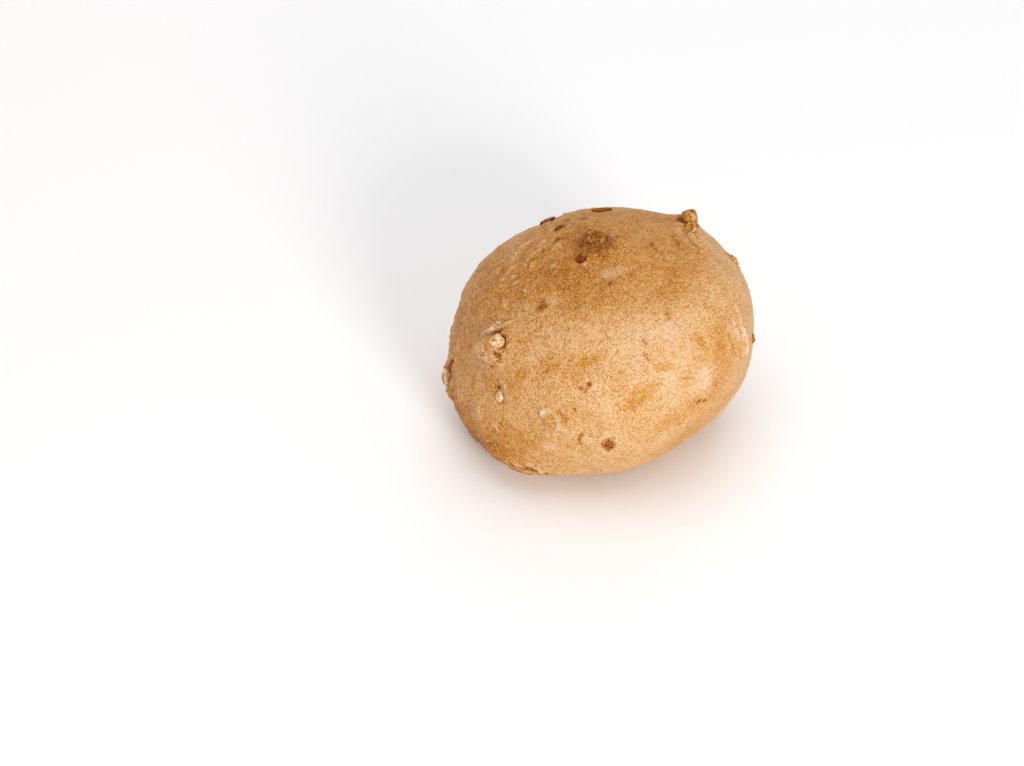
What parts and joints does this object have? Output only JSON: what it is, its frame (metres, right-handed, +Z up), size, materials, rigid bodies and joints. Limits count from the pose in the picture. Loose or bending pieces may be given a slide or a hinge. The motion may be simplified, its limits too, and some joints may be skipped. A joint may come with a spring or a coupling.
{
  "type": "bread roll",
  "caption": "Plump round wholegrain bread roll with a satin golden crust, grain kernels baked into it and a flat base.",
  "frame": {"origin": "on the surface the roll rests on, under the middle of its outline seen from above", "axes": "+Z up, +X along the roll's slightly longer way, -Y towards its best side, where most kernels show"},
  "size_m": [0.0924, 0.087, 0.0639],
  "materials": {
    "crust": "satin"
  },
  "bodies": {
    "root": {"bread_roll": "crust"}
  },
  "joints": []
}
